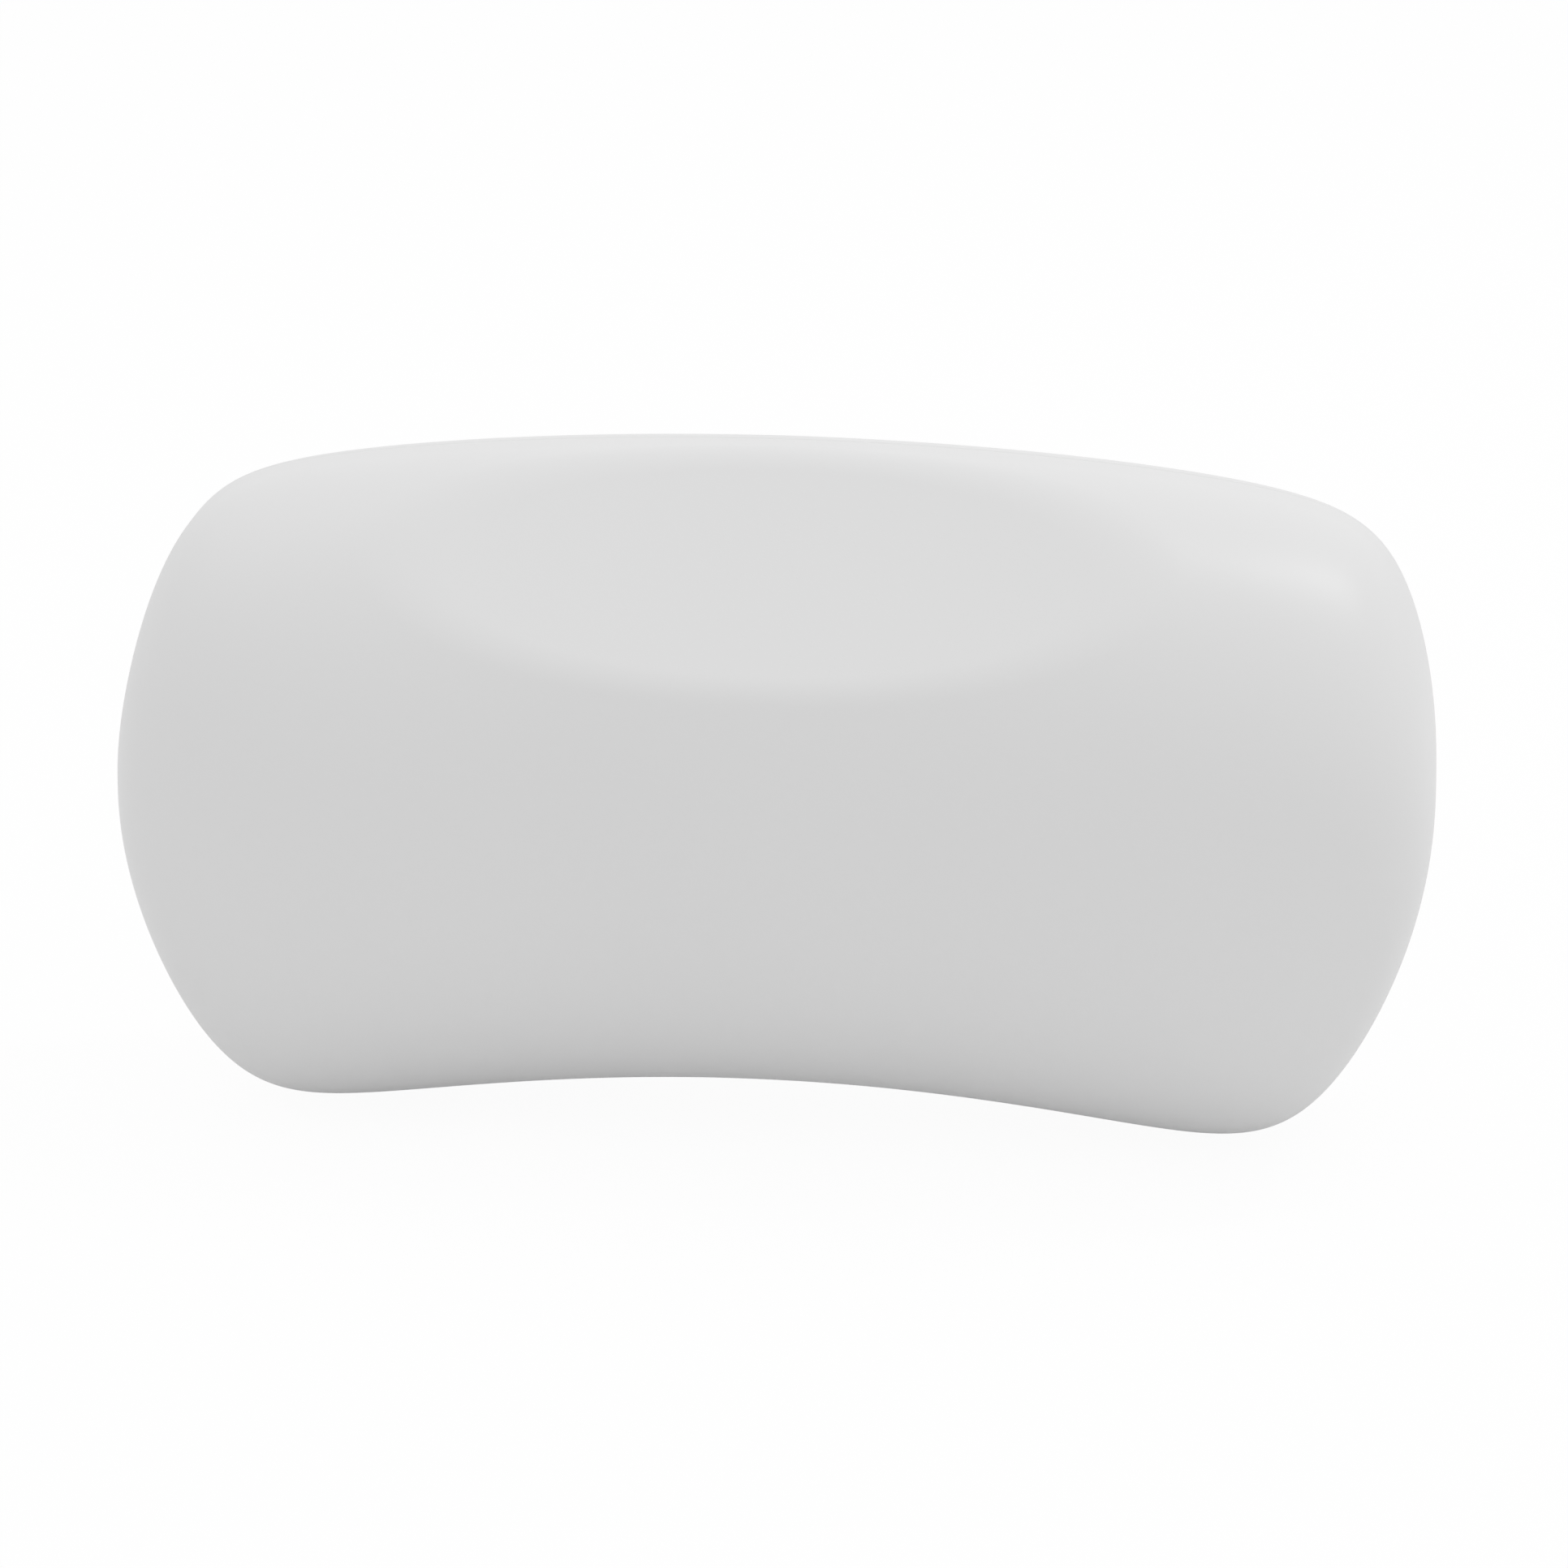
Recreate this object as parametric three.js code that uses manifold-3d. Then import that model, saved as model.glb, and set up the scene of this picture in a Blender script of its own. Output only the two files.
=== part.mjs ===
// Bath headrest: a sculpted foam cushion in a moulded skin, with a stiffener plate behind its flat
// back and four suction cups that swivel in sockets and hold it on the sloping end of a tub.
//
// Millimetres. X runs along the headrest, +Y points into the tub wall and +Z is up.
// The origin is on the tub wall, level with the middle of the four suction cups.

import * as THREE from 'three';
import { mergeVertices } from 'three/addons/utils/BufferGeometryUtils.js';
import Module from 'manifold-3d';

const wasm = await Module();
wasm.setup();

// Cushion outline, seen from the front, measured from the centre of its sections
const halfWidth = 160;
const crownHeight = 77.7;
const crownDrop = 12.7;
const chinHeight = 74.4;
const lobeDrop = 24.7;
const crownEndRadius = 133;
const chinEndRadius = 115;

// Cushion depth, measured from the mid plane that the sections are centred on
const frontDepth = 56.3;
const lobeReach = 9.7;
const backSwell = 44;
const backFaceDepth = 24;
const backEdgeBlend = 11;
const sectionLeanShare = 0.106;

// Exponents of the rounded outlines: 2 is an ellipse, and more is squarer
const crownCornerPower = 4.7;
const chinCornerPower = 6.3;
const endPower = 4.3;
const endRoot = 4;
const upperFrontPower = 2.2;
const lowerFrontPower = 2.6;
const backPower = 3.5;

// Head dish, pressed square to its own tilted plane
const dishForward = 23.5;
const dishLift = 54.2;
const dishTilt = THREE.MathUtils.degToRad(50.7);
const dishWidthRadius = 470;
const dishLengthRadius = 2500;
const dishLength = 66;
const dishLowerBlend = 2;
const dishUpperBlend = 3.5;

// Skin, and the gap kept between pieces that touch
const skinWall = 2.5;
const seatGap = 0.3;
const cutOverrun = 2;

// Suction cups: where they stand, and one cup from its lip to its head
const cupSpacingX = 180;
const cupSpacingZ = 72;
const cupStandOff = 14;
const cupRadius = 22.5;
const lipWidth = 1.8;
const lipThickness = 0.9;
const hollowDepth = 5.6;
const shoulderRadius = 7.5;
const shoulderHeight = 9.6;
const neckRadius = 4.2;
const headRadius = 6.4;
const headHeight = 4.6;
const headEdge = 1.2;
const tabReach = 9;
const tabWidth = 11;
const tabThickness = 1.2;
const tabLift = 0.6;
const tabRoot = 3;
const ridgeWidth = 1.2;
const ridgeHeight = 0.6;
const ridgePitch = 2.6;
const ridgeCount = 3;

// Sockets, and the caps that close their inner ends
const swivelClearance = 0.4;
const flangeThickness = 1.6;
const flangeOverhang = 3;
const flangeEdge = 0.6;
const throatLength = 5;
const throatLeadIn = 0.7;
const socketWall = 1.6;
const tipClearance = 0.8;
const capWall = 1.5;
const capRimThickness = 1.5;
const capRimOverhang = 1.8;
const capEdge = 0.8;

// Stiffener plate
const plateClearance = 0.5;
const plateThickness = 2.4;
const plateSideMargin = 22;
const plateTopMargin = 14.5;
const plateCornerRadius = 20;
const ribWidth = 2;
const ribHeight = 4;
const ribRoot = 0.6;
const ribEndGap = 1.2;
const keyRadius = 5.5;
const keyPitchX = 30;
const keyPitchZ = 36;
const keyColumns = 5;
const keyRows = 2;

// Steps along and around each form
const outerSteps = { along: 28, around: 24 };
const innerSteps = { along: 20, around: 20 };
const roundSides = 24;
const holeSides = 16;
const capSides = 16;
const keySides = 12;
const curveSteps = 5;
const cornerSteps = 3;

// Depths of the stacked pieces, each measured from the tub wall towards the bather
const plateBack = cupStandOff + skinWall + plateClearance;
const plateFront = plateBack + plateThickness;
const flangeBack = cupStandOff - seatGap;
const flangeFace = flangeBack - flangeThickness;
const throatEnd = flangeFace + throatLength;
const headSeat = throatEnd + swivelClearance;
const headTip = headSeat + headHeight;
const barrelEnd = headTip + tipClearance;
const capRimFace = plateFront + seatGap;
const capFloor = barrelEnd + seatGap;

// Radii of the pieces that fit in one another
const throatRadius = neckRadius + swivelClearance;
const cavityRadius = headRadius + swivelClearance;
const barrelRadius = cavityRadius + socketWall;
const barrelHoleRadius = barrelRadius + seatGap;
const capRadius = barrelHoleRadius + capWall;
const capRimRadius = capRadius + capRimOverhang;

const dishNormal = new THREE.Vector3(0, -Math.cos(dishTilt), Math.sin(dishTilt));
const dishUp = new THREE.Vector3(0, Math.sin(dishTilt), Math.cos(dishTilt));
const dishMiddle = new THREE.Vector3(0, -dishForward, dishLift);

// Where the suction cups stand; left and right are as the bather sees them
const stations = [
  { name: 'upper_left', x: -cupSpacingX / 2, z: cupSpacingZ / 2 },
  { name: 'upper_right', x: cupSpacingX / 2, z: cupSpacingZ / 2 },
  { name: 'lower_left', x: -cupSpacingX / 2, z: -cupSpacingZ / 2 },
  { name: 'lower_right', x: cupSpacingX / 2, z: -cupSpacingZ / 2 },
];

// Turns a closed geometry into a solid that can be joined and cut
function toSolid(geometry) {
  const bare = geometry.clone();
  bare.deleteAttribute('normal');
  bare.deleteAttribute('uv');
  const merged = mergeVertices(bare);
  const corners = merged.index.array;
  const kept = [];
  for (let i = 0; i < corners.length; i += 3) {
    const [a, b, c] = corners.slice(i, i + 3);
    if (a !== b && b !== c && c !== a) {
      kept.push(a, b, c);
    }
  }
  const mesh = new wasm.Mesh({
    numProp: 3,
    vertProperties: new Float32Array(merged.attributes.position.array),
    triVerts: new Uint32Array(kept),
  });
  return new wasm.Manifold(mesh);
}

// Turns a solid back into a geometry that can be drawn
function toGeometry(solid) {
  const mesh = solid.getMesh();
  const geometry = new THREE.BufferGeometry();
  geometry.setAttribute('position', new THREE.BufferAttribute(mesh.vertProperties, 3));
  geometry.setIndex(new THREE.BufferAttribute(mesh.triVerts, 1));
  geometry.computeVertexNormals();
  return geometry;
}

// Zero where the value is well below zero, the value where it is well above, and a smooth turn
// between them that is one blend wide on each side
function softRamp(value, blend) {
  const near = Math.max(blend - Math.abs(value), 0) / blend;
  return Math.max(value, 0) + (near * near * blend) / 4;
}

// Height of an outline near an end: a level run that turns down into a round end
function runIntoEnd(level, endRadius, toEnd, cornerPower) {
  const endLine = Math.sqrt(2 * endRadius * toEnd);
  return level * (1 + (endLine / level) ** -cornerPower) ** (-1 / cornerPower);
}

// One point of the cushion, an inset below its outer face. The section along the cushion is set by
// an angle from one end to the other, and the place around the section by an angle that starts at
// the front and climbs over the crown.
function cushionPoint(alongAngle, aroundAngle, inset) {
  const alongShare = Math.sin(alongAngle);
  const square = alongShare * alongShare;
  const reach = halfWidth - inset;
  const toEnd = Math.max(reach * (1 - Math.abs(alongShare)), 0);
  const forward = Math.cos(aroundAngle);
  const upward = Math.sin(aroundAngle);
  const frontPower = upward > 0 ? upperFrontPower : lowerFrontPower;
  const power = forward > 0 ? frontPower : backPower;
  const spread = (Math.abs(forward) ** power + Math.abs(upward) ** power) ** (-1 / power);

  const crownLevel = crownHeight - crownDrop * square - inset;
  const chinLevel = chinHeight + lobeDrop * square - inset;
  const crown = runIntoEnd(crownLevel, crownEndRadius, toEnd, crownCornerPower);
  const chin = runIntoEnd(chinLevel, chinEndRadius, toEnd, chinCornerPower);
  const rise = (upward > 0 ? crown : chin) * spread * upward;

  const endShare = Math.max(1 - Math.abs(alongShare) ** endPower, 0) ** (1 / endRoot);
  const front = frontDepth + lobeReach * square - inset;
  const back = backSwell - inset;
  const run = (forward > 0 ? front : back) * endShare * spread * forward;

  const point = new THREE.Vector3(reach * alongShare, sectionLeanShare * rise - run, rise);
  pressDish(point, inset);
  point.y -= softRamp(point.y - (backFaceDepth - inset), backEdgeBlend);
  return point;
}

// The dish: what stands above a shallow bowl is pushed back along the bowl's own direction. Its
// lower edge is crisp, and its upper edge is soft where it rolls into the crown.
function pressDish(point, inset) {
  const fromMiddle = point.clone().sub(dishMiddle);
  const climb = fromMiddle.dot(dishUp);
  const bowl = point.x ** 2 / (2 * dishWidthRadius) + climb ** 2 / (2 * dishLengthRadius);
  const above = fromMiddle.dot(dishNormal) + inset - bowl;
  const climbShare = THREE.MathUtils.smoothstep(climb, -dishLength / 2, dishLength / 2);
  const blend = THREE.MathUtils.lerp(dishLowerBlend, dishUpperBlend, climbShare);
  point.addScaledVector(dishNormal, -softRamp(above, blend));
}

// The closed form of the cushion: rings of points from end to end, and one point at each end. It
// lies in front of its own back face, which stands off the tub wall.
function cushionForm(inset, steps) {
  const points = [];
  for (let i = 1; i < steps.along; i += 1) {
    const alongAngle = (i / steps.along - 1 / 2) * Math.PI;
    for (let j = 0; j < steps.around; j += 1) {
      points.push(cushionPoint(alongAngle, (j / steps.around) * 2 * Math.PI, inset));
    }
  }
  const leftEnd = points.push(cushionPoint(-Math.PI / 2, 0, inset)) - 1;
  const rightEnd = points.push(cushionPoint(Math.PI / 2, 0, inset)) - 1;

  const triangles = [];
  for (let j = 0; j < steps.around; j += 1) {
    const next = (j + 1) % steps.around;
    const lastRing = (steps.along - 2) * steps.around;
    triangles.push(leftEnd, j, next, rightEnd, lastRing + next, lastRing + j);
    for (let i = 0; i < steps.along - 2; i += 1) {
      const a = i * steps.around + j;
      const b = a + steps.around;
      const c = (i + 1) * steps.around + next;
      const d = i * steps.around + next;
      const leftHalf = i < (steps.along - 2) / 2;
      triangles.push(...(leftHalf ? [a, b, c, a, c, d] : [a, b, d, b, c, d]));
    }
  }

  const geometry = new THREE.BufferGeometry();
  geometry.setFromPoints(points);
  geometry.setIndex(triangles);
  geometry.translate(0, -cupStandOff - backFaceDepth, 0);
  return toSolid(geometry);
}

// A round cutter along Y with its flats on the given radius, centred on a depth from the wall
function roundCutter(radius, nearDepth, farDepth, x, z, sides) {
  const outer = radius / Math.cos(Math.PI / sides);
  const cutter = new THREE.CylinderGeometry(outer, outer, farDepth - nearDepth, sides);
  cutter.translate(x, -(nearDepth + farDepth) / 2, z);
  return toSolid(cutter);
}

// Skin: the cushion's outer form, hollowed, with a round hole in the flat back for each socket
function skinGeometry() {
  let skin = cushionForm(0, outerSteps).subtract(cushionForm(skinWall, innerSteps));
  for (const { x, z } of stations) {
    const near = cupStandOff - cutOverrun;
    const far = cupStandOff + skinWall + cutOverrun;
    skin = skin.subtract(roundCutter(barrelHoleRadius, near, far, x, z, holeSides));
  }
  return toGeometry(skin);
}

// Foam: it fills the skin round the plate and the caps, and reaches through the plate's key holes
function foamGeometry() {
  let foam = cushionForm(skinWall + seatGap, innerSteps);
  foam = foam.subtract(plateBlank(seatGap, plateClearance + cutOverrun));
  for (const { x, z } of stations) {
    const pocket = new THREE.LatheGeometry(capOutline(seatGap), capSides);
    pocket.translate(x, 0, z);
    foam = foam.subtract(toSolid(pocket));
  }
  return toGeometry(foam);
}

// A slab of the given outline: the outline stands in the XZ plane, and the slab runs from one depth
// to another, both measured from the wall
function slab(shape, nearDepth, farDepth) {
  const geometry = new THREE.ExtrudeGeometry(shape, {
    depth: farDepth - nearDepth,
    bevelEnabled: false,
    curveSegments: cornerSteps,
  });
  geometry.rotateX(Math.PI / 2);
  geometry.translate(0, -nearDepth, 0);
  return toSolid(geometry);
}

// A rectangle with round corners about the origin
function roundedRectangle(halfX, halfY, radius) {
  const quarter = Math.PI / 2;
  const shape = new THREE.Shape();
  shape.absarc(halfX - radius, halfY - radius, radius, 0, quarter);
  shape.absarc(radius - halfX, halfY - radius, radius, quarter, 2 * quarter);
  shape.absarc(radius - halfX, radius - halfY, radius, 2 * quarter, 3 * quarter);
  shape.absarc(halfX - radius, radius - halfY, radius, 3 * quarter, 4 * quarter);
  return shape;
}

// A straight rib on the plate's front, between two corners of its footprint
function rib(minX, maxX, minZ, maxZ, grow) {
  const depth = ribRoot + ribHeight + grow;
  const bar = new THREE.BoxGeometry(maxX - minX + 2 * grow, depth, maxZ - minZ + 2 * grow);
  bar.translate((minX + maxX) / 2, ribRoot - plateFront - depth / 2, (minZ + maxZ) / 2);
  return toSolid(bar);
}

// The plate before its socket holes: a slab with a rim, ribs between the sockets, and key holes for
// the foam. Grown, it is the space that the foam leaves for it.
function plateBlank(grow, backOverrun) {
  const halfX = cupSpacingX / 2 + plateSideMargin;
  const halfZ = cupSpacingZ / 2 + plateTopMargin;
  const outline = roundedRectangle(halfX + grow, halfZ + grow, plateCornerRadius + grow);
  let plate = slab(outline, plateBack - backOverrun, plateFront + grow);

  const rimShape = roundedRectangle(halfX + grow, halfZ + grow, plateCornerRadius + grow);
  const rimInset = ribWidth + grow;
  rimShape.holes.push(roundedRectangle(halfX - rimInset, halfZ - rimInset, plateCornerRadius - rimInset));
  plate = plate.add(slab(rimShape, plateFront - ribRoot, plateFront + ribHeight + grow));

  const socketX = cupSpacingX / 2;
  const socketZ = cupSpacingZ / 2;
  const clear = capRimRadius + ribEndGap;
  const half = ribWidth / 2;
  plate = plate.add(rib(-socketX, socketX, -half, half, grow));
  for (const sign of [-1, 1]) {
    const z = sign * socketZ;
    const x = sign * socketX;
    plate = plate.add(rib(clear - socketX, socketX - clear, z - half, z + half, grow));
    plate = plate.add(rib(x - half, x + half, clear - socketZ, socketZ - clear, grow));
  }

  for (let column = 0; column < keyColumns; column += 1) {
    for (let row = 0; row < keyRows; row += 1) {
      const x = (column - (keyColumns - 1) / 2) * keyPitchX;
      const z = (row - (keyRows - 1) / 2) * keyPitchZ;
      const near = plateBack - backOverrun - cutOverrun;
      const far = plateFront + grow + cutOverrun;
      plate = plate.subtract(roundCutter(keyRadius - grow, near, far, x, z, keySides));
    }
  }
  return plate;
}

// Stiffener plate: the blank with a hole for the barrel of each socket
function plateGeometry() {
  let plate = plateBlank(0, 0);
  for (const { x, z } of stations) {
    const near = plateBack - cutOverrun;
    const far = plateFront + cutOverrun;
    plate = plate.subtract(roundCutter(barrelHoleRadius, near, far, x, z, holeSides));
  }
  return toGeometry(plate);
}

// Profiles of the turned pieces give the radius and Y, and run upwards on the outside

// Socket: a flange on the skin, a narrow throat for the neck, and a barrel that holds the head
function socketGeometry() {
  const flangeRadius = barrelHoleRadius + flangeOverhang;
  const profile = new THREE.Path();
  profile.moveTo(cavityRadius, -barrelEnd);
  profile.lineTo(barrelRadius, -barrelEnd);
  profile.lineTo(barrelRadius, -flangeBack);
  profile.lineTo(flangeRadius, -flangeBack);
  profile.lineTo(flangeRadius, -flangeFace - flangeEdge);
  profile.lineTo(flangeRadius - flangeEdge, -flangeFace);
  profile.lineTo(throatRadius + throatLeadIn, -flangeFace);
  profile.lineTo(throatRadius, -flangeFace - throatLeadIn);
  profile.lineTo(throatRadius, -throatEnd);
  profile.lineTo(cavityRadius, -throatEnd);
  profile.lineTo(cavityRadius, -barrelEnd);
  return new THREE.LatheGeometry(profile.getPoints(curveSteps), roundSides);
}

// Outline of the cap's outside, grown all round where the foam leaves space for it
function capOutline(grow) {
  const top = capFloor + capWall + grow;
  const rimInner = capRimFace + capRimThickness + grow;
  const outline = new THREE.Path();
  outline.moveTo(0, -top);
  outline.lineTo(capRadius + grow - capEdge, -top);
  outline.lineTo(capRadius + grow, -top + capEdge);
  outline.lineTo(capRadius + grow, -rimInner);
  outline.lineTo(capRimRadius + grow, -rimInner);
  outline.lineTo(capRimRadius + grow, -capRimFace + grow);
  outline.lineTo(0, -capRimFace + grow);
  return outline.getPoints(curveSteps);
}

// Cap: a blind thimble over the end of the barrel, with a rim that bears on the plate
function capGeometry() {
  const profile = capOutline(0);
  profile.pop();
  profile.push(new THREE.Vector2(barrelHoleRadius, -capRimFace));
  profile.push(new THREE.Vector2(barrelHoleRadius, -capFloor));
  profile.push(new THREE.Vector2(0, -capFloor));
  return new THREE.LatheGeometry(profile, capSides);
}

// Suction cup: a mushroom head and neck for the socket, a thin bell with a flat lip, and a pull tab
function cupGeometry() {
  const hollowRadius = cupRadius - lipWidth;
  const bellBulge = new THREE.Vector2((shoulderRadius + cupRadius) / 2, -shoulderHeight);
  const profile = new THREE.Path();
  profile.moveTo(0, -headTip);
  profile.quadraticCurveTo(headRadius, -headTip, headRadius, -headSeat - headEdge);
  profile.lineTo(headRadius, -headSeat);
  profile.lineTo(neckRadius, -headSeat);
  profile.lineTo(neckRadius, -shoulderHeight);
  profile.lineTo(shoulderRadius, -shoulderHeight);
  profile.quadraticCurveTo(bellBulge.x, bellBulge.y, cupRadius, -lipThickness);
  profile.lineTo(cupRadius, 0);
  profile.lineTo(hollowRadius, 0);
  profile.quadraticCurveTo(hollowRadius / 2, -hollowDepth, 0, -hollowDepth);
  const bell = new THREE.LatheGeometry(profile.getPoints(curveSteps), roundSides);
  return toGeometry(toSolid(bell).add(tabSolid()));
}

// Pull tab: a tongue that hangs from the lip a little off the wall, with ridges for a finger nail
function tabSolid() {
  const tip = cupRadius + tabReach;
  const round = tabWidth / 2;
  const tongue = new THREE.Shape();
  tongue.moveTo(-round, tabRoot - cupRadius);
  tongue.lineTo(-round, round - tip);
  tongue.absarc(0, round - tip, round, Math.PI, 2 * Math.PI);
  tongue.lineTo(round, tabRoot - cupRadius);
  let tab = slab(tongue, tabLift, tabLift + tabThickness);
  for (let i = 0; i < ridgeCount; i += 1) {
    const depth = ridgeHeight + tabThickness / 2;
    const ridge = new THREE.BoxGeometry(tabWidth / 2, depth, ridgeWidth);
    const z = round - tip + i * ridgePitch - ridgePitch / 2;
    ridge.translate(0, -(tabLift + tabThickness / 2) - depth / 2, z);
    tab = tab.add(toSolid(ridge));
  }
  return tab;
}

function material(color, roughness) {
  return new THREE.MeshStandardMaterial({ color, roughness, metalness: 0 });
}

function piece(name, geometry, finish) {
  const mesh = new THREE.Mesh(geometry, finish);
  mesh.name = name;
  return mesh;
}

const skinFinish = material(0xdedede, 0.45);
const foamFinish = material(0xefe8d2, 0.95);
const plateFinish = material(0xb9bec4, 0.55);
const socketFinish = material(0xe9e9e7, 0.35);
const cupFinish = material(0xd5dfe2, 0.22);

const headrest = new THREE.Group();
headrest.name = 'bath_headrest';
headrest.add(piece('cushion_skin', skinGeometry(), skinFinish));
headrest.add(piece('foam_core', foamGeometry(), foamFinish));
headrest.add(piece('stiffener_plate', plateGeometry(), plateFinish));

for (const { name, x, z } of stations) {
  const station = new THREE.Group();
  station.position.set(x, 0, z);
  station.add(piece(`cup_socket_${name}`, socketGeometry(), socketFinish));
  station.add(piece(`socket_cap_${name}`, capGeometry(), plateFinish));
  station.add(piece(`suction_cup_${name}`, cupGeometry(), cupFinish));
  headrest.add(station);
}

export default headrest;
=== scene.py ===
import math

import bmesh
import bpy
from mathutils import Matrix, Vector


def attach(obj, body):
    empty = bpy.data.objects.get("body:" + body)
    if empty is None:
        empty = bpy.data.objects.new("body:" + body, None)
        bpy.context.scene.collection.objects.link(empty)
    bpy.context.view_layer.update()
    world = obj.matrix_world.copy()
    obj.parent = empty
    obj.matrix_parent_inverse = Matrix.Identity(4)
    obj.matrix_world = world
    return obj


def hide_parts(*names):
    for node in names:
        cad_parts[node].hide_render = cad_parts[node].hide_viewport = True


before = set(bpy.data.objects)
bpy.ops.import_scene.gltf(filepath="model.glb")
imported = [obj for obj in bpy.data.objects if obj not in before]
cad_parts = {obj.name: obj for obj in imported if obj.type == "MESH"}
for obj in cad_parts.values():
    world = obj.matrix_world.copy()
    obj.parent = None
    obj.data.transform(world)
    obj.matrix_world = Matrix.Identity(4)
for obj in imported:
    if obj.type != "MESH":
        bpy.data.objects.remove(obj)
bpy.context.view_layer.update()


# The stiffener plate is a ribbed tray of grey polypropylene, injection moulded with a spark-eroded
# grain. It is set in the mould before the foam is poured, and the foam rises through its key holes.
# It carries the four sockets, and four caps of the same plastic clamp them to it.
def clouds(tree, clouds_per_metre):
    """Soft noise that is fixed to the piece."""
    place = tree.nodes.new("ShaderNodeTexCoord")
    noise = tree.nodes.new("ShaderNodeTexNoise")
    noise.inputs["Scale"].default_value = clouds_per_metre
    tree.links.new(place.outputs["Object"], noise.inputs["Vector"])
    return noise.outputs["Fac"]


def drift_tint(tree, shader, share, dark, light):
    """The base colour drifts between two close tints."""
    tint = tree.nodes.new("ShaderNodeMix")
    tint.data_type = "RGBA"
    tint.inputs["A"].default_value = dark
    tint.inputs["B"].default_value = light
    tree.links.new(share, tint.inputs["Factor"])
    tree.links.new(tint.outputs["Result"], shader.inputs["Base Color"])


def drift_gloss(tree, shader, share, smoothest, roughest):
    """The roughness drifts between two values."""
    gloss = tree.nodes.new("ShaderNodeMapRange")
    gloss.inputs["To Min"].default_value = smoothest
    gloss.inputs["To Max"].default_value = roughest
    tree.links.new(share, gloss.inputs["Value"])
    tree.links.new(gloss.outputs["Result"], shader.inputs["Roughness"])


def raise_grain(tree, shader, height, depth, below=None):
    """A relief of the given depth in metres, over another one where there is one below."""
    bump = tree.nodes.new("ShaderNodeBump")
    bump.inputs["Distance"].default_value = depth
    tree.links.new(height, bump.inputs["Height"])
    if below is not None:
        tree.links.new(below, bump.inputs["Normal"])
    tree.links.new(bump.outputs["Normal"], shader.inputs["Normal"])
    return bump.outputs["Normal"]


def moulded_finish(
    name,
    dark,
    light,
    tints_per_metre,
    smoothest,
    roughest,
    glosses_per_metre,
    grains_per_metre,
    grain_depth,
):
    """The finish of a moulded piece: the material, its nodes, its shader and its grain's relief."""
    finish = bpy.data.materials.new(name)
    finish.use_nodes = True
    tree = finish.node_tree
    shader = tree.nodes["Principled BSDF"]
    drift_tint(tree, shader, clouds(tree, tints_per_metre), dark, light)
    drift_gloss(tree, shader, clouds(tree, glosses_per_metre), smoothest, roughest)
    relief = raise_grain(tree, shader, clouds(tree, grains_per_metre), grain_depth)
    return finish, tree, shader, relief


insert_finish = moulded_finish(
    "grey_polypropylene",
    dark=(0.43, 0.46, 0.49, 1),
    light=(0.50, 0.53, 0.56, 1),
    tints_per_metre=40,
    smoothest=0.48,
    roughest=0.62,
    glosses_per_metre=300,
    grains_per_metre=1800,
    grain_depth=0.00005,
)[0]

station_names = ["upper_left", "upper_right", "lower_left", "lower_right"]
inserts = ["stiffener_plate"]
for station in station_names:
    inserts.append("socket_cap_" + station)
for insert in inserts:
    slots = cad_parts[insert].data.materials
    slots.clear()
    slots.append(insert_finish)


# The four sockets are bushes of white nylon. Each has a flange on the flat back, a throat that the
# neck of a suction cup snaps through, and a barrel for its mushroom head. They are pushed through
# the skin and the plate from behind, and all four are alike.
class Field:
    """A number that a node tree works out at every point, written with plain arithmetic."""

    def __init__(self, tree, socket):
        self.tree = tree
        self.socket = socket

    def math(self, operation, *values):
        node = self.tree.nodes.new("ShaderNodeMath")
        node.operation = operation
        for slot, value in zip(node.inputs, values):
            if isinstance(value, Field):
                self.tree.links.new(value.socket, slot)
            else:
                slot.default_value = value
        return Field(self.tree, node.outputs["Value"])

    def __add__(self, other):
        return self.math("ADD", self, other)

    def __sub__(self, other):
        return self.math("SUBTRACT", self, other)

    def __rsub__(self, other):
        return self.math("SUBTRACT", other, self)

    def __mul__(self, other):
        return self.math("MULTIPLY", self, other)

    def __truediv__(self, other):
        return self.math("DIVIDE", self, other)

    def __rtruediv__(self, other):
        return self.math("DIVIDE", other, self)

    def __pow__(self, other):
        return self.math("POWER", self, other)

    def __mod__(self, other):
        return self.math("MODULO", self, other)

    def __abs__(self):
        return self.math("ABSOLUTE", self)

    def above(self, other):
        return self.math("GREATER_THAN", self, other)

    def at_least(self, other):
        return self.math("MAXIMUM", self, other)

    def at_most(self, other):
        return self.math("MINIMUM", self, other)

    def sine(self):
        return self.math("SINE", self)

    def cosine(self):
        return self.math("COSINE", self)

    def root(self):
        return self.math("SQRT", self)


def new_tree(name, inputs):
    """A node tree with named inputs: the tree, what it is given and where its result goes."""
    kinds = {
        int: "NodeSocketInt",
        float: "NodeSocketFloat",
        bpy.types.Material: "NodeSocketMaterial",
        bpy.types.Object: "NodeSocketObject",
    }
    tree = bpy.data.node_groups.new(name, "GeometryNodeTree")
    tree.interface.new_socket("Mesh", in_out="INPUT", socket_type="NodeSocketGeometry")
    tree.interface.new_socket("Mesh", in_out="OUTPUT", socket_type="NodeSocketGeometry")
    for label, value in inputs.items():
        made = tree.interface.new_socket(label, in_out="INPUT", socket_type=kinds[type(value)])
        made.default_value = value
    given = tree.nodes.new("NodeGroupInput").outputs
    result = tree.nodes.new("NodeGroupOutput").inputs["Mesh"]
    return tree, given, result


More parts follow.
